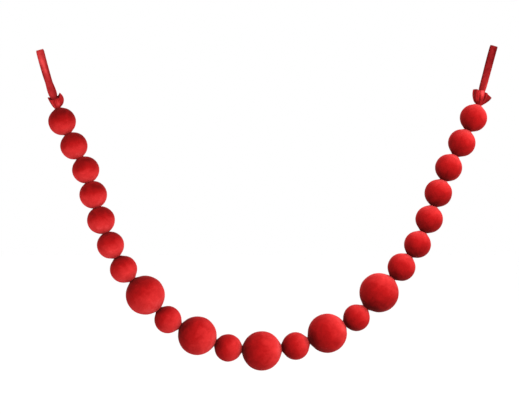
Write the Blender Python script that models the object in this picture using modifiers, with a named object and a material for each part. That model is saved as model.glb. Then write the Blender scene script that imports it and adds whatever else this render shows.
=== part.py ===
"""A velvet ball garland, hanging in a swag from a ribbon loop at each end.

Foam balls in two sizes are covered with velvet, threaded in a row and drawn together, so that each
pair meets at a flat pole. At each end of the row velvet is gathered into a neck and flares out past
it in an uneven ruffle, and a loop of velvet ribbon stands in the ruffle.

The garland hangs in the XZ plane and is seen from -Y. The origin is where the left loop hangs.
"""

import math
from collections import namedtuple

import bmesh
import bpy
from mathutils import Matrix, Vector

MM = 0.001

# Balls, over the velvet
RADIUS = {"small": 25.5 * MM, "large": 36.5 * MM}
SEGMENTS = {"small": 22, "large": 28}
RINGS = {"small": 12, "large": 14}
POLE_RADIUS = 6.6 * MM
SEAT_GAP = 0.3 * MM
POLE_COSINE = 0.9

# Velvet of the gathered ends
NECK_RADIUS = 5.4 * MM
CUP_FLOOR = 7.0 * MM
CLOTH = 1.4 * MM
PLEATS = 8
PLEAT_DEPTH = 0.7 * MM
GATHER_SEGMENTS = 48
GATHER_STEPS = 6
PLEATED_BY = 0.33
LEAN_BY = 0.2

# Ribbon of the hanging loops
RIBBON_WIDTH = 13.0 * MM
RIBBON_THICK = 1.1 * MM
LOOP_GAP = 9.0 * MM
ROOT_GAP = 0.6 * MM
ROOT_RISE = 1.2 * MM
LEG_STEPS = 14
BEND_STEPS = 8
ACROSS_STEPS = 4

VELVET_RED = (0.42, 0.012, 0.014, 1.0)
RIBBON_RED = (0.45, 0.014, 0.02, 1.0)

# One row for each ball, from the left: its size, how far in mm its radius is over the size's own,
# the heading in degrees of the step to the next ball, and how far in mm the two are pressed into
# each other, or drawn apart if that is negative. The last step goes to the right end's neck.
Ball = namedtuple("Ball", "size over heading press")
BALLS = (
    Ball("small", 0.1, -64.3, 0.6),
    Ball("small", -0.2, -63.8, 0.6),
    Ball("small", -0.3, -73.2, 2.7),
    Ball("small", 0.3, -72.9, 2.2),
    Ball("small", 0.4, -69.0, 1.5),
    Ball("small", -0.2, -61.7, -0.3),
    Ball("small", -0.1, -50.0, -1.2),
    Ball("large", -0.1, -47.3, -0.2),
    Ball("small", 0.0, -28.6, -0.8),
    Ball("large", -0.4, -21.6, 0.1),
    Ball("small", 0.2, -5.0, -0.4),
    Ball("large", 0.2, 8.1, -1.2),
    Ball("small", 0.2, 21.9, -1.4),
    Ball("large", 0.1, 28.0, 0.1),
    Ball("small", -0.5, 48.0, -1.1),
    Ball("large", 0.2, 48.7, -0.6),
    Ball("small", 0.5, 54.8, -0.5),
    Ball("small", -0.4, 65.1, -1.2),
    Ball("small", 0.1, 70.9, -0.1),
    Ball("small", 0.2, 67.8, -0.2),
    Ball("small", -0.3, 62.0, -1.6),
    Ball("small", 0.0, 64.8, -0.4),
    Ball("small", -0.1, 70.0, 0.0),
)

# How each end goes on past its last ball, with headings in degrees and lengths in mm: the neck's
# heading, how far the ruffle leans from it, the length and heading of the straight line from the
# neck to the loop's top, and the loop's heading where it leaves the ruffle and where it hangs.
End = namedtuple("End", "neck lean length rises leaves hangs")
LEFT = End(108.5, -4.0, 113.2, 107.1, 111.5, 104.0)
RIGHT = End(70.0, 12.0, 113.2, 75.1, 72.3, 74.0)

# How a ribbon lies at a share of its way from root to top: how far it curls across and is turned about
# its length, both in degrees, and how far in mm the back leg lies to the right of the front one
Lie = namedtuple("Lie", "share curl turned aside")
LEFT_LIES = (
    Lie(0.0, 178.0, 0.0, 0.0),
    Lie(0.07, 160.0, 0.0, 0.0),
    Lie(0.24, 20.0, -6.0, 2.6),
    Lie(0.45, 80.0, -5.0, 0.3),
    Lie(0.65, 30.0, -4.0, 0.1),
    Lie(1.0, 3.0, -4.0, 0.0),
)
RIGHT_LIES = (
    Lie(0.0, 178.0, 0.0, 0.0),
    Lie(0.10, 150.0, 0.0, 0.0),
    Lie(0.32, 30.0, 2.0, 0.0),
    Lie(1.0, 3.0, 0.5, 0.0),
)

# The ruffle of each end, one row for each fold: its turn in degrees round the neck, from the front
# by the right, and in mm its belly, its reach at the rim and its rise above the ball.
Fold = namedtuple("Fold", "turn belly reach rise")
LEFT_FOLDS = (
    Fold(0, 13.0, 9.5, 16.0),
    Fold(42, 15.0, 11.0, 17.0),
    Fold(72, 20.0, 12.5, 22.0),
    Fold(98, 22.0, 10.5, 27.3),
    Fold(135, 15.0, 9.5, 24.4),
    Fold(180, 12.0, 9.0, 22.5),
    Fold(225, 12.0, 11.0, 24.3),
    Fold(272, 11.2, 13.2, 24.5),
    Fold(315, 12.6, 12.5, 17.2),
)
RIGHT_FOLDS = (
    Fold(15, 19.5, 12.5, 26.5),
    Fold(44, 12.8, 10.8, 24.7),
    Fold(62, 14.5, 14.0, 23.7),
    Fold(80, 16.5, 16.5, 21.2),
    Fold(98, 19.5, 23.6, 17.2),
    Fold(125, 13.0, 11.5, 19.5),
    Fold(180, 12.0, 9.0, 21.5),
    Fold(235, 13.0, 10.0, 25.0),
    Fold(275, 15.8, 13.6, 27.3),
    Fold(315, 18.0, 11.5, 28.0),
    Fold(345, 15.0, 11.0, 26.3),
)


def heading(degrees):
    """Unit vector in the garland's plane, by its angle from +X towards +Z."""
    angle = math.radians(degrees)
    return Vector((math.cos(angle), 0.0, math.sin(angle)))


def turned_to(degrees):
    """Rotation about Y that brings local +Z to a heading, with local +X on its right."""
    return Matrix.Rotation(math.radians(90.0 - degrees), 3, "Y")


def smooth(share):
    """Eases a share from 0 to 1."""
    share = min(max(share, 0.0), 1.0)
    return share * share * (3.0 - 2.0 * share)


def clear_scene():
    for obj in list(bpy.data.objects):
        bpy.data.objects.remove(obj, do_unlink=True)


def velvet(name, colour, roughness):
    material = bpy.data.materials.new(name)
    material.use_nodes = True
    shader = material.node_tree.nodes["Principled BSDF"]
    shader.inputs["Base Color"].default_value = colour
    shader.inputs["Roughness"].default_value = roughness
    shader.inputs["Metallic"].default_value = 0.0
    shader.inputs["Sheen Weight"].default_value = 1.0
    return material


def add_object(name, shape, material, collection, location, rotation=None):
    """Makes a smooth-shaded object of the garland from a bmesh."""
    mesh = bpy.data.meshes.new(name)
    bmesh.ops.recalc_face_normals(shape, faces=shape.faces)
    shape.to_mesh(mesh)
    shape.free()
    mesh.materials.append(material)
    mesh.shade_smooth()
    obj = bpy.data.objects.new(name, mesh)
    obj.location = location
    if rotation is not None:
        obj.rotation_euler = rotation.to_euler()
    collection.objects.link(obj)
    return obj


# Balls


def ball_radius(ball):
    return RADIUS[ball.size] + ball.over * MM


def pole_angles(radius, reach):
    """Edge of a pole's flat disc and end of the cone round it, as angles from the pole.

    A pole pressed inside the sphere is a plain flat. One drawn out past it stands on a cone of
    tight velvet that leaves the sphere at a tangent.
    """
    disc = max(POLE_RADIUS, math.sqrt(max(radius**2 - reach**2, 0.0)))
    edge = math.atan2(disc, reach)
    cone = edge + math.acos(min(1.0, radius * math.cos(edge) / reach))
    return edge, cone


def surface_distance(angle, radius, reach):
    """Distance from a ball's centre to its velvet, at an angle from the nearer pole."""
    edge, cone = pole_angles(radius, reach)
    if angle <= edge:
        return reach / math.cos(angle)
    if angle < cone:
        return radius / math.cos(cone - angle)
    return radius


def ball_shape(ball, turn, reach_back, reach_on):
    """A ball about its own centre, threaded along +Z, with its poles turned to its neighbours."""
    radius = ball_radius(ball)
    rings = RINGS[ball.size]
    first = pole_angles(radius, reach_on)[0]
    last = math.pi - pole_angles(radius, reach_back)[0]
    shape = bmesh.new()
    bmesh.ops.create_uvsphere(shape, u_segments=SEGMENTS[ball.size], v_segments=rings, radius=1.0)
    for vert in shape.verts:
        ring = round(math.acos(max(-1.0, min(1.0, vert.co.z))) / math.pi * rings)
        around = math.atan2(vert.co.y, vert.co.x)
        if ring in (0, rings):
            polar = math.pi * ring / rings
        else:
            polar = first + (last - first) * (ring - 1) / (rings - 2)
        if polar < math.pi / 2:
            distance = surface_distance(polar, radius, reach_on)
        else:
            distance = surface_distance(math.pi - polar, radius, reach_back)
        aim = max(-1.0, min(1.0, math.cos(polar) / POLE_COSINE))
        bend = Matrix.Rotation(-turn / 2 * aim, 3, "Y")
        outwards = Matrix.Rotation(around, 3, "Z") @ Vector((math.sin(polar), 0.0, math.cos(polar)))
        vert.co = bend @ outwards * distance
    return shape


def lay_out_balls(start):
    """Centre, turn, mean heading and both poles' reach for each ball, then the far neck's place."""
    placed = []
    centre = start
    incoming = LEFT.neck - 180.0
    press = 0.0
    for ball in BALLS:
        reach_back = ball_radius(ball) - (press * MM + SEAT_GAP) / 2
        reach_on = ball_radius(ball) - (ball.press * MM + SEAT_GAP) / 2
        centre = centre + heading(incoming) * (SEAT_GAP + reach_back)
        turn = math.radians(ball.heading - incoming)
        placed.append((centre, turn, (ball.heading + incoming) / 2, reach_back, reach_on))
        centre = centre + heading(ball.heading) * reach_on
        incoming = ball.heading
        press = ball.press
    return placed, centre + heading(incoming) * SEAT_GAP


# Gathered ends


def fold_at(folds, turn):
    """Belly, reach and rise of a ruffle at a turn, eased from each fold to the next."""
    for fold, following in zip(folds, folds[1:] + folds[:1]):
        span = (following.turn - fold.turn) % 360.0
        past = (turn - fold.turn) % 360.0
        if past < span:
            share = smooth(past / span)
            return [(a + (b - a) * share) * MM for a, b in zip(fold[1:], following[1:])]
    return [value * MM for value in folds[0][1:]]


def ruffle_point(folds, lean, turn, up, inside):
    """A point on a face of the ruffle, by its turn and its share of the way from neck to rim."""
    belly, reach, rise = fold_at(folds, turn)
    if inside:
        floor = CUP_FLOOR / rise
        up = floor + (1.0 - floor) * up
    radius = (1 - up) ** 2 * NECK_RADIUS + 2 * up * (1 - up) * belly + up**2 * reach
    radius += PLEAT_DEPTH * math.sin(math.radians(turn * PLEATS)) * smooth(up / PLEATED_BY)
    if inside:
        radius -= CLOTH
    upright = Matrix.Rotation(math.radians(turn), 3, "Z") @ Vector((0.0, -radius, rise * up))
    return leaning(lean, up) @ upright


def leaning(lean, up):
    """Rotation of the ruffle from its neck's heading, which grows on the way up."""
    return Matrix.Rotation(-math.radians(lean) * smooth(up / LEAN_BY), 3, "Y")


def gather_shape(folds, lean):
    """A gathered end on its neck, along +Z: up the outside, over the rim and down to the floor."""
    profile = [(step / GATHER_STEPS, False) for step in range(GATHER_STEPS + 1)]
    profile += [(1.0 - step / GATHER_STEPS, True) for step in range(GATHER_STEPS + 1)]
    rows = len(profile) + 1
    shape = bmesh.new()
    bmesh.ops.create_grid(shape, x_segments=GATHER_SEGMENTS, y_segments=rows, size=1.0)
    for vert in shape.verts:
        segment = round((vert.co.x + 1.0) / 2.0 * GATHER_SEGMENTS) % GATHER_SEGMENTS
        turn = segment * 360.0 / GATHER_SEGMENTS
        row = round((vert.co.y + 1.0) / 2.0 * rows)
        if row == 0:
            vert.co = Vector((0.0, 0.0, 0.0))
        elif row == rows:
            vert.co = leaning(lean, 1.0) @ Vector((0.0, 0.0, CUP_FLOOR))
        else:
            up, inside = profile[row - 1]
            vert.co = ruffle_point(folds, lean, turn, up, inside)
    bmesh.ops.remove_doubles(shape, verts=shape.verts, dist=SEAT_GAP / 100)
    return shape


# Hanging loops


def loop_line(end, root, top, share):
    """A point of the loop's middle line on its way from root to top, and the line's direction."""
    pull = (top - root).length
    leave = heading(end.leaves) * pull
    arrive = heading(end.hangs) * pull
    rest = 1.0 - share
    point = root * rest**2 * (1 + 2 * share) + top * share**2 * (1 + 2 * rest)
    point += leave * share * rest**2 - arrive * rest * share**2
    along = (top - root) * 6 * share * rest
    along += leave * rest * (1 - 3 * share) + arrive * share * (3 * share - 2)
    return point, along.normalized()


def lie_at(lies, share):
    """Curl, turn and step to the side of a ribbon at a share of its way, eased between its rows."""
    share = min(max(share, 0.0), 1.0)
    for lie, following in zip(lies, lies[1:]):
        if share <= following.share:
            part = smooth((share - lie.share) / (following.share - lie.share))
            return [a + (b - a) * part for a, b in zip(lie[1:], following[1:])]
    return list(lies[-1][1:])


def loop_shape(end, lies, root, top):
    """The ribbon as an open strip: up the front leg, round the bend and down the back leg.

    Its edges curl inwards near the root, until the two legs are the halves of a tube.
    """
    steps = 2 * LEG_STEPS + BEND_STEPS
    strip = bmesh.new()
    bmesh.ops.create_grid(strip, x_segments=steps, y_segments=ACROSS_STEPS, size=1.0)
    for vert in strip.verts:
        step = round((vert.co.x + 1.0) / 2.0 * steps)
        share = min(step, steps - step, LEG_STEPS) / LEG_STEPS
        over = min(max(step - LEG_STEPS, 0), BEND_STEPS) / BEND_STEPS
        point, along = loop_line(end, root, top, share)
        curl, turned, aside = lie_at(lies, share)
        front = Matrix.Rotation(math.radians(turned), 3, along) @ Vector((0.0, -1.0, 0.0))
        across = front.cross(along)
        outwards = front * math.cos(over * math.pi) + along * math.sin(over * math.pi)
        curl = math.radians(curl)
        bow = RIBBON_WIDTH / curl
        gap = ROOT_GAP + (LOOP_GAP - ROOT_GAP) * smooth(share)
        edge_out = (gap + RIBBON_THICK) / 2
        angle = vert.co.y * curl / 2
        vert.co = point + across * (bow * math.sin(angle) + aside * MM * (0.5 - over))
        vert.co += outwards * (edge_out + bow * (math.cos(angle) - math.cos(curl / 2)))
    return strip


def add_loop(name, end, lies, root, top, material, collection):
    strip = loop_shape(end, lies, root - top, Vector((0.0, 0.0, 0.0)))
    obj = add_object(name, strip, material, collection, top)
    thicken = obj.modifiers.new("ribbon", "SOLIDIFY")
    thicken.thickness = RIBBON_THICK
    thicken.offset = 0.0
    thicken.use_even_offset = True
    return obj


def build_garland():
    clear_scene()
    collection = bpy.data.collections.new("velvet_ball_garland")
    bpy.context.scene.collection.children.link(collection)
    ball_velvet = velvet("ball_velvet", VELVET_RED, 0.9)
    ribbon_velvet = velvet("ribbon_velvet", RIBBON_RED, 0.85)

    left_neck = heading(LEFT.rises) * -LEFT.length * MM
    placed, right_neck = lay_out_balls(left_neck)
    right_hang = right_neck + heading(RIGHT.rises) * RIGHT.length * MM

    for number, (ball, place) in enumerate(zip(BALLS, placed), start=1):
        centre, turn, mean, reach_back, reach_on = place
        shape = ball_shape(ball, turn, reach_back, reach_on)
        add_object(f"ball_{number:02d}", shape, ball_velvet, collection, centre, turned_to(mean))

    for name, end, neck, hang, folds, lies in (
        ("left", LEFT, left_neck, Vector((0.0, 0.0, 0.0)), LEFT_FOLDS, LEFT_LIES),
        ("right", RIGHT, right_neck, right_hang, RIGHT_FOLDS, RIGHT_LIES),
    ):
        shape = gather_shape(folds, end.lean)
        add_object(f"gather_{name}", shape, ball_velvet, collection, neck, turned_to(end.neck))
        root = neck + heading(end.neck + end.lean) * (CUP_FLOOR + ROOT_RISE)
        bend = hang - heading(end.hangs) * LOOP_GAP / 2
        add_loop(f"loop_{name}", end, lies, root, bend, ribbon_velvet, collection)


build_garland()
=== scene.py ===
"""The look of a velvet ball garland: fine balls, ruffles and ribbon loops over its solids, in a studio."""

import math
from collections import namedtuple

import bpy
import numpy as np
from mathutils import Matrix, Vector, noise


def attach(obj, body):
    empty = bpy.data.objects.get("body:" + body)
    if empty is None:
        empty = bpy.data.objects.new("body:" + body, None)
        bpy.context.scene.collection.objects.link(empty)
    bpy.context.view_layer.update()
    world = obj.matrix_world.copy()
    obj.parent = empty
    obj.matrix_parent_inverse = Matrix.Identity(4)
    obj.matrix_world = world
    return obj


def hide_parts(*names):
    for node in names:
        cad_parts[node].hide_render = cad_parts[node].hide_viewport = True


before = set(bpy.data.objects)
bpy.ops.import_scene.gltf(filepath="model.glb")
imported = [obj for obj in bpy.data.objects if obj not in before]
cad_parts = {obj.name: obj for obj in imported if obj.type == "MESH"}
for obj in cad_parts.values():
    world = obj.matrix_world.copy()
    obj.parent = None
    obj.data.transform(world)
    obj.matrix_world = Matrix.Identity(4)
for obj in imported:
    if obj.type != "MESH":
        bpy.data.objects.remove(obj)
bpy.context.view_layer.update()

MM = 0.001
UP = Vector((0.0, 0.0, 1.0))
WHITE = (1.0, 1.0, 1.0, 1.0)

# How far apart noise is read for one seed and the next, what a ruffle's rim adds to its end's seed, and
# the seed for how the balls differ in shade
SEED_STEP = Vector((7.31, 3.77, 1.93))
RIM_SEED = 5
BALL_VARIETY_SEED = 1

# The photograph, in pixels: its size, the place of the row's origin, and the size of one pixel
PHOTO_WIDTH = 519
PHOTO_HEIGHT = 414
ORIGIN_PIXEL = (39.89, 50.3)
PIXEL = 1.862 * MM

# Camera, and the floor well below the garland
LENS = 85.0
SENSOR = 36.0
FLOOR_LEVEL = -1.15
FLOOR_SIZE = 40.0
FLOOR_COLOUR = (0.9, 0.9, 0.9)
FLOOR_ROUGHNESS = 0.9
FLOOR_GLOW = 0.1

# Soft round lights: the place from the garland's middle and the size in metres, and the power in watts
Light = namedtuple("Light", "name place size power")
LIGHTS = (
    Light("front", (0.1, -1.7, 2.0), 1.6, 26.0),
    Light("right", (1.0, -0.9, 0.1), 0.9, 16.0),
    Light("left", (-1.0, -0.9, 0.1), 0.9, 5.0),
    Light("behind", (0.0, 2.2, 0.8), 2.0, 22.0),
)

# Balls, over the velvet. Each is flat or drawn out at its two poles, where the thread goes through. It
# points along a pole's own step where the angle from the pole has a cosine over POLE_COSINE, and it
# bends in between.
RADIUS = {"small": 25.5 * MM, "large": 36.5 * MM}
BALL_SEGMENTS = {"small": 96, "large": 120}
BALL_RINGS = {"small": 56, "large": 72}
POLE_RADIUS = 6.6 * MM
POLE_COSINE = 0.9
SEAT_GAP = 0.3 * MM
SQUASH = 0.25 * MM

# Slight dents all over a ball, sunk on the whole, which fade in over DENTED_BY radians past its poles
DENT_SIZE = 17.0 * MM
DENT_DEPTH = 0.35 * MM
DENT_SINK = 0.3
DENTED_BY = 0.3

# Pleats of the cover round a ball's poles, and how their lengths vary, by noise that is read from its own
# place, how they wander, and the painted shade in their valleys. Their reach and start are angles in
# radians past the pole's edge.
PLEATS_ROUND_POLE = 15
POLE_PLEAT_DEPTH = 0.5 * MM
POLE_PLEAT_REACH = 0.55
POLE_PLEAT_START = 0.12
POLE_PLEAT_SHORTEST = 0.6
POLE_PLEAT_VARIETY = 0.6
POLE_PLEAT_VARIETY_SIZE = 0.3
POLE_PLEAT_VARIETY_PLACE = 2.0 * UP
POLE_PLEAT_WANDER = 4.0
POLE_PLEAT_WANDER_SIZE = 0.8
POLE_PLEAT_PAINTED_SHADE = 0.22

# Velvet of the gathered ends. Up to LIFTED_BY and LEAN_BY of the way from neck to rim, it is lifted off
# the ball by half its thickness, and it turns to its lean.
NECK_RADIUS = 5.4 * MM
CUP_FLOOR = 7.0 * MM
CLOTH = 1.2 * MM
CLOTH_INSET = 0.7 * MM
LIFTED_BY = 0.25
LEAN_BY = 0.2
GATHER_SEGMENTS = 240
GATHER_STEPS = 36
NECK_STEPS = 6
NAP_STEP = 0.05

# Pleats of the gathered ends, which fade in from the neck, painted darker in their valleys and lighter on
# their ridges, and the rim's slight wave
PLEATS = 8
PLEAT_DEPTH = 0.35 * MM
PLEATED_BY = 0.33
PLEAT_PAINTED_SHADE = 0.06
FINE_PLEATS = 19
FINE_PLEAT_DEPTH = 0.2 * MM
FINE_PLEATED_BY = 0.125
FINE_PLEAT_FADE = 0.6
FINE_PLEAT_WANDER = 5.0
FINE_PLEAT_WANDER_SIZE = 0.7
FINE_PLEAT_WANDER_RISE = 0.4
FINE_PLEAT_PAINTED_SHADE = 0.07
RIM_WAVE = 0.5 * MM
RIM_WAVES = 3.0
RIM_FROM = 0.5

# Ribbon of the hanging loops
RIBBON_WIDTH = 13.0 * MM
RIBBON_THICK = 1.0 * MM
CAD_RIBBON_THICK = 1.1 * MM
LOOP_GAP = 9.0 * MM
ROOT_GAP = 0.6 * MM
ROOT_RISE = 1.2 * MM
LEG_STEPS = 110
BEND_STEPS = 28
RIBBON_STEPS = 2 * LEG_STEPS + BEND_STEPS
ACROSS_STEPS = 16
RIPPLE = 0.22 * MM
RIPPLES = 20.0
RIPPLE_SIZE = 1.1
RIPPLE_FROM = 0.15
RIPPLED_BY = 0.2

# One row for each ball, as in the solids, from the left: its size, how far in mm its radius is over the
# size's own, the heading in degrees of the step to the next ball, and how far in mm the two are pressed
# into each other, or drawn apart if that is negative. The last step goes to the right end's neck.
Ball = namedtuple("Ball", "size over heading press")
BALLS = (
    Ball("small", 0.1, -64.3, 0.6),
    Ball("small", -0.2, -63.8, 0.6),
    Ball("small", -0.3, -73.2, 2.7),
    Ball("small", 0.3, -72.9, 2.2),
    Ball("small", 0.4, -69.0, 1.5),
    Ball("small", -0.2, -61.7, -0.3),
    Ball("small", -0.1, -50.0, -1.2),
    Ball("large", -0.1, -47.3, -0.2),
    Ball("small", 0.0, -28.6, -0.8),
    Ball("large", -0.4, -21.6, 0.1),
    Ball("small", 0.2, -5.0, -0.4),
    Ball("large", 0.2, 8.1, -1.2),
    Ball("small", 0.2, 21.9, -1.4),
    Ball("large", 0.1, 28.0, 0.1),
    Ball("small", -0.5, 48.0, -1.1),
    Ball("large", 0.2, 48.7, -0.6),
    Ball("small", 0.5, 54.8, -0.5),
    Ball("small", -0.4, 65.1, -1.2),
    Ball("small", 0.1, 70.9, -0.1),
    Ball("small", 0.2, 67.8, -0.2),
    Ball("small", -0.3, 62.0, -1.6),
    Ball("small", 0.0, 64.8, -0.4),
    Ball("small", -0.1, 70.0, 0.0),
)

# Where a ball lies: its centre, how far in radians the thread turns there, the mean heading in degrees
# of its two steps, and how far its velvet reaches to the balls before and after it
Place = namedtuple("Place", "centre turn mean reach_back reach_on")

# Painted shade and highlight on a ball, dark towards the ball before and light towards the ball after: its
# shade in the middle, how that grows along the gradient as a cubic with these factors, and how far in
# degrees the gradient is turned from the thread to its left. Balls between two rows share them.
PaintedShading = namedtuple("PaintedShading", "ball even slope bend twist turned")
PAINTED_SHADING = (
    PaintedShading(1, 0.46, 0.68, 0.06, -0.35, -12.0),
    PaintedShading(4, 0.57, 0.80, -0.03, -0.65, -8.0),
    PaintedShading(7, 0.63, 0.53, -0.14, -0.12, -4.0),
    PaintedShading(12, 0.51, 0.36, -0.02, 0.20, 5.0),
    PaintedShading(16, 0.41, 0.36, 0.06, 0.26, 12.0),
    PaintedShading(20, 0.39, 0.41, 0.19, 0.15, -1.0),
    PaintedShading(23, 0.48, 0.41, 0.12, 0.10, -12.0),
)
BALL_VARIETY = 0.03
BALL_VARIETY_SIZE = 1.7

# A fold of an end's ruffle, as in the solids: its turn in degrees, from 0 at the front to 90 at the
# right, and in mm how far the ruffle bellies out there, how far its rim reaches and how high it rises
Fold = namedtuple("Fold", "turn belly reach rise")

# How a ribbon lies at a share of its way from root to top: how far it curls across and is turned about
# its length, both in degrees, and how far in mm the back leg lies to the right of the front one
Lie = namedtuple("Lie", "share curl turned aside")

# Patches of painted highlight and painted shade on a piece: the middle of the patch across the piece
# and along it, its spread both ways, and how much lighter it is. Across is a turn in degrees on a ruffle,
# and from -1 to 1 on a ribbon, seen from the right edge to the left; along is the share of the way from
# neck or root.
Brush = namedtuple("Brush", "across along wide tall lighter")

# An end past its last ball, as in the solids. In degrees: the neck's heading, how far the ruffle leans
# from it, and the headings from neck to hook, of the ribbon as it leaves the ruffle, and as it reaches
# the hook. The length from neck to hook is in mm, and the size that the ruffle was cut to in metres.
# Its ruffle and ribbon each have a middle shade and patches of painted highlight and painted shade.
End = namedtuple(
    "End",
    "name neck lean length rises leaves hangs seed cut folds lies"
    " ruffle_shade ruffle ribbon_shade ribbon",
)
LEFT = End(
    name="left",
    neck=108.5,
    lean=-4.0,
    length=113.2,
    rises=107.1,
    leaves=111.5,
    hangs=104.0,
    seed=3,
    cut=(0.072, 0.024),
    folds=(
        Fold(0, 13.0, 9.5, 16.0),
        Fold(42, 15.0, 11.0, 17.0),
        Fold(72, 20.0, 12.5, 22.0),
        Fold(98, 22.0, 10.5, 27.3),
        Fold(135, 15.0, 9.5, 24.4),
        Fold(180, 12.0, 9.0, 22.5),
        Fold(225, 12.0, 11.0, 24.3),
        Fold(272, 11.2, 13.2, 24.5),
        Fold(315, 12.6, 12.5, 17.2),
    ),
    lies=(
        Lie(0.0, 178.0, 0.0, 0.0),
        Lie(0.07, 160.0, 0.0, 0.0),
        Lie(0.24, 20.0, -6.0, 2.6),
        Lie(0.45, 80.0, -5.0, 0.3),
        Lie(0.65, 30.0, -4.0, 0.1),
        Lie(1.0, 3.0, -4.0, 0.0),
    ),
    ruffle_shade=0.48,
    ruffle=(
        Brush(30, 0.45, 18, 0.30, 0.34),
        Brush(-32, 0.50, 10, 0.30, 0.12),
        Brush(-55, 0.60, 16, 0.50, -0.12),
        Brush(75, 0.20, 14, 0.18, -0.30),
        Brush(-5, 0.95, 30, 0.12, -0.12),
    ),
    ribbon_shade=0.52,
    ribbon=(
        Brush(0.10, 0.82, 0.60, 0.14, 0.32),
        Brush(-0.25, 0.68, 0.35, 0.12, 0.26),
        Brush(1.0, 0.62, 0.45, 0.16, -0.40),
        Brush(-1.0, 0.62, 0.30, 0.16, -0.30),
        Brush(-0.2, 0.33, 0.80, 0.10, -0.08),
        Brush(-0.9, 0.22, 0.50, 0.10, -0.20),
        Brush(-0.3, 0.10, 2.00, 0.06, -0.24),
    ),
)
RIGHT = End(
    name="right",
    neck=70.0,
    lean=12.0,
    length=113.2,
    rises=75.1,
    leaves=72.3,
    hangs=74.0,
    seed=8,
    cut=(0.089, 0.026),
    folds=(
        Fold(15, 19.5, 12.5, 26.5),
        Fold(44, 12.8, 10.8, 24.7),
        Fold(62, 14.5, 14.0, 23.7),
        Fold(80, 16.5, 16.5, 21.2),
        Fold(98, 19.5, 23.6, 17.2),
        Fold(125, 13.0, 11.5, 19.5),
        Fold(180, 12.0, 9.0, 21.5),
        Fold(235, 13.0, 10.0, 25.0),
        Fold(275, 15.8, 13.6, 27.3),
        Fold(315, 18.0, 11.5, 28.0),
        Fold(345, 15.0, 11.0, 26.3),
    ),
    lies=(
        Lie(0.0, 178.0, 0.0, 0.0),
        Lie(0.10, 150.0, 0.0, 0.0),
        Lie(0.32, 30.0, 2.0, 0.0),
        Lie(1.0, 3.0, 0.5, 0.0),
    ),
    ruffle_shade=0.42,
    ruffle=(
        Brush(15, 0.85, 24, 0.30, 0.52),
        Brush(2, 0.28, 18, 0.24, -0.22),
        Brush(-18, 0.60, 13, 0.40, 0.15),
        Brush(-50, 0.60, 26, 0.60, -0.13),
        Brush(-35, 0.12, 30, 0.20, -0.30),
        Brush(48, 0.60, 8, 0.50, -0.28),
        Brush(92, 0.70, 32, 0.70, -0.25),
    ),
    # The right ribbon's low middle shade is painted shade.
    ribbon_shade=0.2,
    ribbon=(
        Brush(0.9, 0.50, 0.30, 0.80, -0.10),
        Brush(-0.8, 0.90, 0.70, 0.35, -0.12),
        Brush(-0.5, 0.50, 0.60, 0.15, 0.07),
        Brush(-0.9, 0.22, 0.50, 0.25, 0.40),
        Brush(-1.0, 0.97, 0.40, 0.10, -0.20),
    ),
)

# Velvet, as linear colours from the darkest painted shade through the velvet's red to the brightest painted
# highlight, pinker as painted sheen at the top, each with the shade at which it stands
Stop = namedtuple("Stop", "shade colour")
BALL_COLOURS = (
    Stop(0.0, (0.045, 0.0003, 0.0003)),
    Stop(0.5, (0.27, 0.0044, 0.0047)),
    Stop(0.85, (0.48, 0.020, 0.020)),
    Stop(1.0, (0.59, 0.044, 0.044)),
)
RUFFLE_COLOURS = (
    Stop(0.0, (0.040, 0.0006, 0.0008)),
    Stop(0.5, (0.27, 0.0085, 0.0095)),
    Stop(1.0, (0.57, 0.045, 0.046)),
)
RIBBON_COLOURS = (
    Stop(0.0, (0.08, 0.0012, 0.0018)),
    Stop(0.5, (0.27, 0.013, 0.014)),
    Stop(1.0, (0.56, 0.050, 0.050)),
)
BACK_COLOUR = (0.20, 0.004, 0.006)
BACK_ROUGHNESS = 0.95
VELVET_ROUGHNESS = 0.92
VELVET_SPECULAR = 0.02
SHEEN = 0.2
SHEEN_ROUGHNESS = 0.45
SHEEN_TINT = (1.0, 0.18, 0.18, 1.0)
NAP_TILT = -0.1

# Unevenness of the velvet, as noise with a scale in spots to the metre. The first three change its shade
# by so much each way, the creases by what each piece has, and the last two are bumps of a height.
Grain = namedtuple("Grain", "scale detail distortion")
CRUSHED = Grain(70.0, 3.0, 0.6)
CRUSHED_SHADE = 0.21
MOTTLED = Grain(900.0, 2.0, 0.0)
MOTTLED_SHADE = 0.12
CREASED = Grain(230.0, 2.0, 0.8)
BALL_CREASES = 0.05
RUFFLE_CREASES = 0.22
RIBBON_CREASES = 0.18
PILE_GRAIN = Grain(1800.0, 2.0, 0.0)
PILE_HEIGHT = 0.25 * MM
CRUSH_GRAIN = Grain(190.0, 3.0, 0.4)
CRUSH_HEIGHT = 0.9 * MM
BUMP_STRENGTH = 0.5


def heading(degrees):
    """Unit vector in the garland's plane, by its angle from +X towards +Z."""
    angle = math.radians(degrees)
    return Vector((math.cos(angle), 0.0, math.sin(angle)))


def turned_to(degrees):
    """Rotation about Y that brings local +Z to a heading, with local +X on its right."""
    return Matrix.Rotation(math.radians(90.0 - degrees), 3, "Y")


def round_z(angle):
    """Unit vector square to +Z, by its angle from +X towards +Y."""
    return Vector((math.cos(angle), math.sin(angle), 0.0))


def smooth(share):
    """Eases a share from 0 to 1."""
    share = min(max(share, 0.0), 1.0)
    return share * share * (3.0 - 2.0 * share)


def between(row, following, share):
    """A row of a table that lies between two others."""
    return type(row)(*[a + (b - a) * share for a, b in zip(row, following)])


def with_painted_patches(shade, patches, across, along, turns=False):
    """Shade at a place, with the patches of painted highlight and painted shade added."""
    for patch in patches:
        aside = across - patch.across
        if turns:
            aside = (aside + 180.0) % 360.0 - 180.0
        away = (aside / patch.wide) ** 2 + ((along - patch.along) / patch.tall) ** 2
        shade += patch.lighter * math.exp(-away)
    return shade


def soft_noise(point, size, seed):
    """Smooth noise from -1 to 1 at a point, with spots of a size, which differs from seed to seed."""
    return noise.noise(Vector(point) / size + SEED_STEP * seed)


# Meshes


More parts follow.
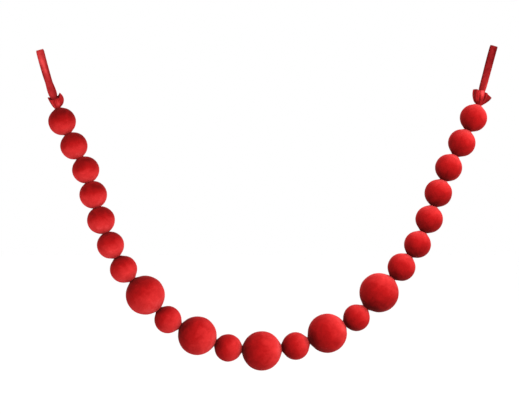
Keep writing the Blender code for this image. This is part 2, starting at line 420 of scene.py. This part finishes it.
def add_piece(name, node, points, nap, shade, faces, material):
    """Makes the piece that stands for a node, with its nap's direction and its painted shade and highlight
    at each point.
    """
    mesh = bpy.data.meshes.new(name)
    mesh.from_pydata([tuple(p) for p in points], [], faces)
    mesh.update()
    direction = mesh.attributes.new("nap", "FLOAT_VECTOR", "POINT")
    direction.data.foreach_set("vector", np.array([tuple(n) for n in nap], dtype=float).ravel())
    lightness = mesh.attributes.new("shade", "FLOAT", "POINT")
    lightness.data.foreach_set("value", np.array(shade, dtype=float))
    mesh.materials.append(material)
    mesh.shade_smooth()
    obj = bpy.data.objects.new(name, mesh)
    bpy.context.scene.collection.objects.link(obj)
    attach(obj, "root")
    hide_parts(node)
    return obj


def add_thickness(obj, name, thickness):
    """Gives a sheet its thickness, half of it on each side."""
    modifier = obj.modifiers.new(name, "SOLIDIFY")
    modifier.thickness = thickness
    modifier.offset = 0.0
    return modifier


def grid_faces(rows, columns, closed):
    """Quads of a grid of points, row by row, whose columns may close on themselves."""
    faces = []
    for row in range(rows - 1):
        here, above = row * columns, (row + 1) * columns
        for column in range(columns if closed else columns - 1):
            following = (column + 1) % columns
            faces.append((here + column, here + following, above + following, above + column))
    return faces


# Balls


def ball_radius(ball):
    """A ball's own radius."""
    return RADIUS[ball.size] + ball.over * MM


def pole_angles(radius, reach):
    """Edge of a pole's flat disc and end of the cone round it, as angles from the pole."""
    disc = max(POLE_RADIUS, math.sqrt(max(radius**2 - reach**2, 0.0)))
    edge = math.atan2(disc, reach)
    cone = edge + math.acos(min(1.0, radius * math.cos(edge) / reach))
    return edge, cone


def surface_distance(angle, radius, reach):
    """Distance from a ball's centre to its velvet, at an angle from the nearer pole."""
    edge, cone = pole_angles(radius, reach)
    if angle <= edge:
        return reach / math.cos(angle)
    if angle < cone:
        return radius / math.cos(cone - angle)
    return radius


def pole_pleats(past_edge, around, seed):
    """How deep the pleats round a pole are, at an angle past its edge and a turn round it."""
    if past_edge <= 0.0:
        return 0.0
    spot = round_z(around)
    varied = abs(soft_noise(spot + POLE_PLEAT_VARIETY_PLACE, POLE_PLEAT_VARIETY_SIZE, seed))
    length = POLE_PLEAT_REACH * (POLE_PLEAT_SHORTEST + POLE_PLEAT_VARIETY * varied)
    fade = smooth(past_edge / POLE_PLEAT_START) * (1.0 - smooth(past_edge / length))
    wander = POLE_PLEAT_WANDER * soft_noise(spot, POLE_PLEAT_WANDER_SIZE, seed)
    wave = 0.5 - 0.5 * math.cos(PLEATS_ROUND_POLE * around + wander)
    return POLE_PLEAT_DEPTH * wave * wave * fade


def painted_shading_of(number):
    """The painted shade and highlight of a ball, between the two rows that its number falls between."""
    for shading, following in zip(PAINTED_SHADING, PAINTED_SHADING[1:]):
        if number <= following.ball:
            return between(shading, following, (number - shading.ball) / (following.ball - shading.ball))


def add_ball(number, ball, place, material):
    """A ball in its place, flat or drawn out at its poles, with slight dents, and pleats at the poles."""
    radius = ball_radius(ball)
    rings = BALL_RINGS[ball.size]
    segments = BALL_SEGMENTS[ball.size]
    upright = turned_to(place.mean)
    reach_on, reach_back = place.reach_on + SQUASH, place.reach_back + SQUASH
    edge_on = pole_angles(radius, reach_on)[0]
    edge_back = pole_angles(radius, reach_back)[0]
    shading = painted_shading_of(number)
    varied = soft_noise((number, 0.0, 0.0), BALL_VARIETY_SIZE, BALL_VARIETY_SEED)
    even = shading.even + BALL_VARIETY * varied
    painted_turn = math.radians(shading.turned)
    points, nap, shade = [], [], []

    def add_point(polar, around):
        ahead = polar < math.pi / 2
        angle = polar if ahead else math.pi - polar
        reach, edge = (reach_on, edge_on) if ahead else (reach_back, edge_back)
        out = round_z(around) * math.sin(polar) + UP * math.cos(polar)
        on = UP * math.sin(polar) - round_z(around) * math.cos(polar)
        dent = soft_noise(out * radius, DENT_SIZE, number) - DENT_SINK
        pleat = pole_pleats(angle - edge, around, number * 2 + ahead)
        distance = surface_distance(angle, radius, reach) - pleat
        distance += DENT_DEPTH * dent * smooth((angle - edge) / DENTED_BY)
        aim = max(-1.0, min(1.0, math.cos(polar) / POLE_COSINE))
        bend = upright @ Matrix.Rotation(-place.turn / 2 * aim, 3, "Y")
        points.append(place.centre + bend @ out * distance)
        nap.append(bend @ on)
        # Painted shade and highlight along the turned gradient
        along = out.z * math.cos(painted_turn) - out.x * math.sin(painted_turn)
        lighter = along * (shading.slope + along * (shading.bend + along * shading.twist))
        # Painted shade in the pole pleats' valleys
        shade.append(even + lighter - POLE_PLEAT_PAINTED_SHADE * pleat / POLE_PLEAT_DEPTH)

    add_point(0.0, 0.0)
    for ring in range(1, rings):
        for segment in range(segments):
            add_point(math.pi * ring / rings, 2 * math.pi * segment / segments)
    add_point(math.pi, 0.0)
    faces = [tuple(index + 1 for index in reversed(face)) for face in grid_faces(rings - 1, segments, True)]
    last = len(points) - 1
    foot = last - segments
    for segment in range(segments):
        following = (segment + 1) % segments
        faces.append((0, 1 + following, 1 + segment))
        faces.append((last, foot + segment, foot + following))
    node = f"ball_{number:02d}"
    obj = add_piece(f"velvet_{node}", node, points, nap, shade, faces, material)


def lay_out_balls(start):
    """Where each ball lies, and then the far neck's place."""
    placed = []
    centre = start
    incoming = LEFT.neck - 180.0
    press = 0.0
    for ball in BALLS:
        reach_back = ball_radius(ball) - (press * MM + SEAT_GAP) / 2
        reach_on = ball_radius(ball) - (ball.press * MM + SEAT_GAP) / 2
        centre = centre + heading(incoming) * (SEAT_GAP + reach_back)
        turn = math.radians(ball.heading - incoming)
        placed.append(Place(centre, turn, (ball.heading + incoming) / 2, reach_back, reach_on))
        centre = centre + heading(ball.heading) * reach_on
        incoming = ball.heading
        press = ball.press
    return placed, centre + heading(incoming) * SEAT_GAP


# Gathered ends


def fold_at(folds, turn):
    """The ruffle's fold at a turn, eased from each fold to the next."""
    for fold, following in zip(folds, folds[1:] + folds[:1]):
        span = (following.turn - fold.turn) % 360.0
        past = (turn - fold.turn) % 360.0
        if past < span:
            return between(fold, following, smooth(past / span))


def leaning(lean, up):
    """Rotation of the ruffle from its neck's heading, which grows on the way up."""
    return Matrix.Rotation(-math.radians(lean) * smooth(up / LEAN_BY), 3, "Y")


def fine_pleats(turn, up, seed):
    """Height from -1 to 1 of a ruffle's fine pleats, which wander on their way up."""
    spot = round_z(math.radians(turn)) + UP * (FINE_PLEAT_WANDER_RISE * up)
    wander = FINE_PLEAT_WANDER * soft_noise(spot, FINE_PLEAT_WANDER_SIZE, seed)
    return math.sin(math.radians(turn * FINE_PLEATS) + wander)


def ruffle_point(end, turn, up):
    """A point of the ruffle's middle, by its turn and its share of the way from neck to rim."""
    fold = fold_at(end.folds, turn)
    radius = (1 - up) ** 2 * NECK_RADIUS + 2 * up * (1 - up) * fold.belly * MM + up**2 * fold.reach * MM
    radius += PLEAT_DEPTH * math.sin(math.radians(turn * PLEATS)) * smooth(up / PLEATED_BY)
    fine_depth = FINE_PLEAT_DEPTH * (1.0 - FINE_PLEAT_FADE * up) * smooth(up / FINE_PLEATED_BY)
    radius += fine_depth * fine_pleats(turn, up, end.seed)
    radius -= CLOTH_INSET
    wave = soft_noise(round_z(math.radians(turn)) * RIM_WAVES, 1.0, end.seed + RIM_SEED)
    height = fold.rise * MM * up + RIM_WAVE * wave * smooth((up - RIM_FROM) / (1.0 - RIM_FROM))
    upright = Matrix.Rotation(math.radians(turn), 3, "Z") @ Vector((0.0, -radius, height))
    return leaning(end.lean, up) @ upright


def ruffle_shade(end, turn, up):
    """Painted shade of a ruffle: darker in its pleats' valleys and lighter on their ridges, with patches of
    painted highlight and painted shade.
    """
    shade = end.ruffle_shade + PLEAT_PAINTED_SHADE * math.sin(math.radians(turn * PLEATS))
    shade += FINE_PLEAT_PAINTED_SHADE * fine_pleats(turn, up, end.seed)
    return with_painted_patches(shade, end.ruffle, turn, up, turns=True)


def add_gather(end, neck, face, back):
    """A ruffle as one sheet: out from the neck's middle, then up to the rim, with a cloth's thickness."""
    frame_of_neck = turned_to(end.neck)
    points, nap, shade = [], [], []
    rows = NECK_STEPS + GATHER_STEPS + 1
    for row in range(rows):
        up = max(row - NECK_STEPS, 0) / GATHER_STEPS
        for segment in range(GATHER_SEGMENTS):
            turn = segment * 360.0 / GATHER_SEGMENTS
            local = ruffle_point(end, turn, up)
            if row < NECK_STEPS:
                direction = local.normalized()
                local = local * (row + 1) / (NECK_STEPS + 1)
            else:
                below = ruffle_point(end, turn, max(up - NAP_STEP, 0.0))
                above = ruffle_point(end, turn, min(up + NAP_STEP, 1.0))
                direction = (above - below).normalized()
            local.z += CLOTH / 2 * (1.0 - smooth(up / LIFTED_BY))
            points.append(neck + frame_of_neck @ local)
            nap.append(frame_of_neck @ direction)
            shade.append(ruffle_shade(end, turn, up))
    faces = grid_faces(rows, GATHER_SEGMENTS, True)
    faces.append(tuple(reversed(range(GATHER_SEGMENTS))))
    node = f"gather_{end.name}"
    obj = add_piece(f"velvet_{node}", node, points, nap, shade, faces, face)
    obj.data.materials.append(back)
    add_thickness(obj, "cloth", CLOTH).material_offset = 1


# Hanging loops


def loop_line(end, root, top, share):
    """A point of the loop's middle line on its way from root to top, and the line's direction."""
    pull = (top - root).length
    leave = heading(end.leaves) * pull
    arrive = heading(end.hangs) * pull
    rest = 1.0 - share
    point = root * rest**2 * (1 + 2 * share) + top * share**2 * (1 + 2 * rest)
    point += leave * share * rest**2 - arrive * rest * share**2
    along = (top - root) * 6 * share * rest
    along += leave * rest * (1 - 3 * share) + arrive * share * (3 * share - 2)
    return point, along.normalized()


def lie_at(lies, share):
    """How a ribbon lies at a share of its way, eased from each row to the next."""
    for lie, following in zip(lies, lies[1:]):
        if share <= following.share:
            return between(lie, following, smooth((share - lie.share) / (following.share - lie.share)))


def loop_point(end, root, top, step, across_by):
    """A point of the ribbon's middle by its step along it and its place from -1 to 1 across it."""
    share = min(step, RIBBON_STEPS - step, LEG_STEPS) / LEG_STEPS
    over = min(max(step - LEG_STEPS, 0), BEND_STEPS) / BEND_STEPS
    point, along = loop_line(end, root, top, share)
    lie = lie_at(end.lies, share)
    front = Matrix.Rotation(math.radians(lie.turned), 3, along) @ Vector((0.0, -1.0, 0.0))
    across = front.cross(along)
    outwards = front * math.cos(over * math.pi) + along * math.sin(over * math.pi)
    curl = math.radians(lie.curl)
    bow = RIBBON_WIDTH / curl
    gap = ROOT_GAP + (LOOP_GAP - ROOT_GAP) * smooth(share)
    edge_out = (gap + CAD_RIBBON_THICK) / 2
    angle = across_by * curl / 2
    spot = Vector((across_by, step / RIBBON_STEPS * RIPPLES, end.seed))
    ripple = RIPPLE * soft_noise(spot, RIPPLE_SIZE, end.seed) * smooth((share - RIPPLE_FROM) / RIPPLED_BY)
    place = point + across * (bow * math.sin(angle) + lie.aside * MM * (0.5 - over))
    return place + outwards * (edge_out + bow * (math.cos(angle) - math.cos(curl / 2)) + ripple)


def add_loop(end, root, top, material):
    """A ribbon loop as one strip: up its front leg, over the hook's place and down its back leg."""
    points, nap, shade = [], [], []
    for step in range(RIBBON_STEPS + 1):
        for side in range(ACROSS_STEPS + 1):
            across_by = side / ACROSS_STEPS * 2.0 - 1.0
            before = loop_point(end, root, top, max(step - 1, 0), across_by)
            after = loop_point(end, root, top, min(step + 1, RIBBON_STEPS), across_by)
            points.append(loop_point(end, root, top, step, across_by))
            nap.append((after - before).normalized() * (1.0 if step < RIBBON_STEPS / 2 else -1.0))
            # Painted highlight and painted shade in patches along the ribbon
            shade.append(with_painted_patches(end.ribbon_shade, end.ribbon, across_by, min(step / LEG_STEPS, 1.0)))
    faces = grid_faces(RIBBON_STEPS + 1, ACROSS_STEPS + 1, False)
    node = f"loop_{end.name}"
    obj = add_piece(f"velvet_{node}", node, points, nap, shade, faces, material)
    add_thickness(obj, "ribbon", RIBBON_THICK)


# Materials


def velvet(name, colours, creased):
    """Velvet whose colour runs from dark to light with each point's painted shade and highlight, and whose
    normal leans a little along its nap.
    """
    material = bpy.data.materials.new(name)
    material.use_nodes = True
    nodes, links = material.node_tree.nodes, material.node_tree.links
    shader = nodes["Principled BSDF"]
    shader.inputs["Roughness"].default_value = VELVET_ROUGHNESS
    shader.inputs["Specular IOR Level"].default_value = VELVET_SPECULAR
    shader.inputs["Sheen Weight"].default_value = SHEEN
    shader.inputs["Sheen Roughness"].default_value = SHEEN_ROUGHNESS
    shader.inputs["Sheen Tint"].default_value = SHEEN_TINT
    place = nodes.new("ShaderNodeTexCoord")

    def noise_of(grain):
        texture = nodes.new("ShaderNodeTexNoise")
        texture.inputs["Scale"].default_value = grain.scale
        texture.inputs["Detail"].default_value = grain.detail
        texture.inputs["Distortion"].default_value = grain.distortion
        links.new(place.outputs["Object"], texture.inputs["Vector"])
        return texture.outputs["Fac"]

    def attribute(attribute_name, output):
        node = nodes.new("ShaderNodeAttribute")
        node.attribute_name = attribute_name
        return node.outputs[output]

    def add(first, second):
        node = nodes.new("ShaderNodeMath")
        node.operation = "ADD"
        links.new(first, node.inputs[0])
        links.new(second, node.inputs[1])
        return node.outputs[0]

    def uneven(grain, reach):
        node = nodes.new("ShaderNodeMath")
        node.operation = "MULTIPLY_ADD"
        links.new(noise_of(grain), node.inputs[0])
        node.inputs[1].default_value = 2.0 * reach
        node.inputs[2].default_value = -reach
        return node.outputs[0]

    def bump(grain, height, under=None):
        node = nodes.new("ShaderNodeBump")
        node.inputs["Strength"].default_value = BUMP_STRENGTH
        node.inputs["Distance"].default_value = height
        links.new(noise_of(grain), node.inputs["Height"])
        if under:
            links.new(under, node.inputs["Normal"])
        return node.outputs["Normal"]

    # Painted shade and highlight from the pieces, with the crushed velvet's random unevenness
    painted_shade_and_crush = add(attribute("shade", "Fac"), uneven(CRUSHED, CRUSHED_SHADE))
    fine = add(uneven(MOTTLED, MOTTLED_SHADE), uneven(CREASED, creased))
    ramp = nodes.new("ShaderNodeValToRGB")
    for stop in colours[1:-1]:
        ramp.color_ramp.elements.new(stop.shade)
    for element, stop in zip(ramp.color_ramp.elements, colours):
        element.color = (*stop.colour, 1.0)
    links.new(add(painted_shade_and_crush, fine), ramp.inputs["Fac"])
    links.new(ramp.outputs["Color"], shader.inputs["Base Color"])

    lean = nodes.new("ShaderNodeVectorMath")
    lean.operation = "MULTIPLY_ADD"
    links.new(attribute("nap", "Vector"), lean.inputs[0])
    lean.inputs[1].default_value = (-NAP_TILT, -NAP_TILT, -NAP_TILT)
    links.new(bump(CRUSH_GRAIN, CRUSH_HEIGHT, bump(PILE_GRAIN, PILE_HEIGHT)), lean.inputs[2])
    unit = nodes.new("ShaderNodeVectorMath")
    unit.operation = "NORMALIZE"
    links.new(lean.outputs["Vector"], unit.inputs[0])
    links.new(unit.outputs["Vector"], shader.inputs["Normal"])
    return material


def plain(name, colour, roughness, glow=0.0):
    """A matt finish of one colour, which may glow a little in white."""
    material = bpy.data.materials.new(name)
    material.use_nodes = True
    shader = material.node_tree.nodes["Principled BSDF"]
    shader.inputs["Base Color"].default_value = (*colour, 1.0)
    shader.inputs["Roughness"].default_value = roughness
    shader.inputs["Emission Color"].default_value = WHITE
    shader.inputs["Emission Strength"].default_value = glow
    return material


# Studio


def add_floor():
    """A wide pale floor that throws no light back on the garland."""
    half = FLOOR_SIZE / 2
    corners = [(x * half, y * half, FLOOR_LEVEL) for x, y in ((-1, -1), (1, -1), (1, 1), (-1, 1))]
    mesh = bpy.data.meshes.new("floor")
    mesh.from_pydata(corners, [], [(0, 1, 2, 3)])
    mesh.materials.append(plain("pale_floor", FLOOR_COLOUR, FLOOR_ROUGHNESS, FLOOR_GLOW))
    floor = bpy.data.objects.new("floor", mesh)
    floor.visible_diffuse = False
    floor.visible_glossy = False
    bpy.context.scene.collection.objects.link(floor)


def add_light(light, target):
    """A round lamp that faces the garland's middle and doesn't show."""
    lamp = bpy.data.lights.new(light.name, "AREA")
    lamp.shape = "DISK"
    lamp.size = light.size
    lamp.energy = light.power
    obj = bpy.data.objects.new(light.name, lamp)
    obj.location = target + Vector(light.place)
    obj.rotation_euler = (-Vector(light.place)).to_track_quat("-Z", "Y").to_euler()
    obj.visible_camera = False
    bpy.context.scene.collection.objects.link(obj)


def add_camera():
    """A level camera that shows the garland's plane at the photograph's scale; gives the view's middle."""
    camera = bpy.data.cameras.new("camera")
    camera.lens = LENS
    camera.sensor_width = SENSOR
    camera.sensor_fit = "HORIZONTAL"
    middle_x = (PHOTO_WIDTH / 2 - ORIGIN_PIXEL[0]) * PIXEL
    middle_z = (ORIGIN_PIXEL[1] - PHOTO_HEIGHT / 2) * PIXEL
    distance = PHOTO_WIDTH * PIXEL * LENS / SENSOR
    obj = bpy.data.objects.new("camera", camera)
    obj.location = (middle_x, -distance, middle_z)
    obj.rotation_euler = (math.pi / 2, 0.0, 0.0)
    bpy.context.scene.collection.objects.link(obj)
    bpy.context.scene.camera = obj
    return Vector((middle_x, 0.0, middle_z))


def add_world():
    """White light from all round."""
    world = bpy.data.worlds.new("studio")
    world.use_nodes = True
    background = world.node_tree.nodes["Background"]
    background.inputs["Color"].default_value = WHITE
    background.inputs["Strength"].default_value = 1.0
    bpy.context.scene.world = world
    bpy.context.scene.view_settings.view_transform = "Standard"


# Building

middle = add_camera()
add_world()
add_floor()
for light in LIGHTS:
    add_light(light, middle)

ball_velvet = velvet("ball_pile", BALL_COLOURS, BALL_CREASES)
ruffle_velvet = velvet("ruffle_pile", RUFFLE_COLOURS, RUFFLE_CREASES)
ribbon_velvet = velvet("ribbon_pile", RIBBON_COLOURS, RIBBON_CREASES)
velvet_back = plain("velvet_back", BACK_COLOUR, BACK_ROUGHNESS)

left_hook = Vector((0.0, 0.0, 0.0))
left_neck = left_hook - heading(LEFT.rises) * LEFT.length * MM
placed, right_neck = lay_out_balls(left_neck)
right_hook = right_neck + heading(RIGHT.rises) * RIGHT.length * MM

for number, (ball, place) in enumerate(zip(BALLS, placed), start=1):
    add_ball(number, ball, place, ball_velvet)

for end, neck, hook in ((LEFT, left_neck, left_hook), (RIGHT, right_neck, right_hook)):
    add_gather(end, neck, ruffle_velvet, velvet_back)
    root = neck + heading(end.neck + end.lean) * (CUP_FLOOR + ROOT_RISE)
    bend = hook - heading(end.hangs) * LOOP_GAP / 2
    add_loop(end, root, bend, ribbon_velvet)
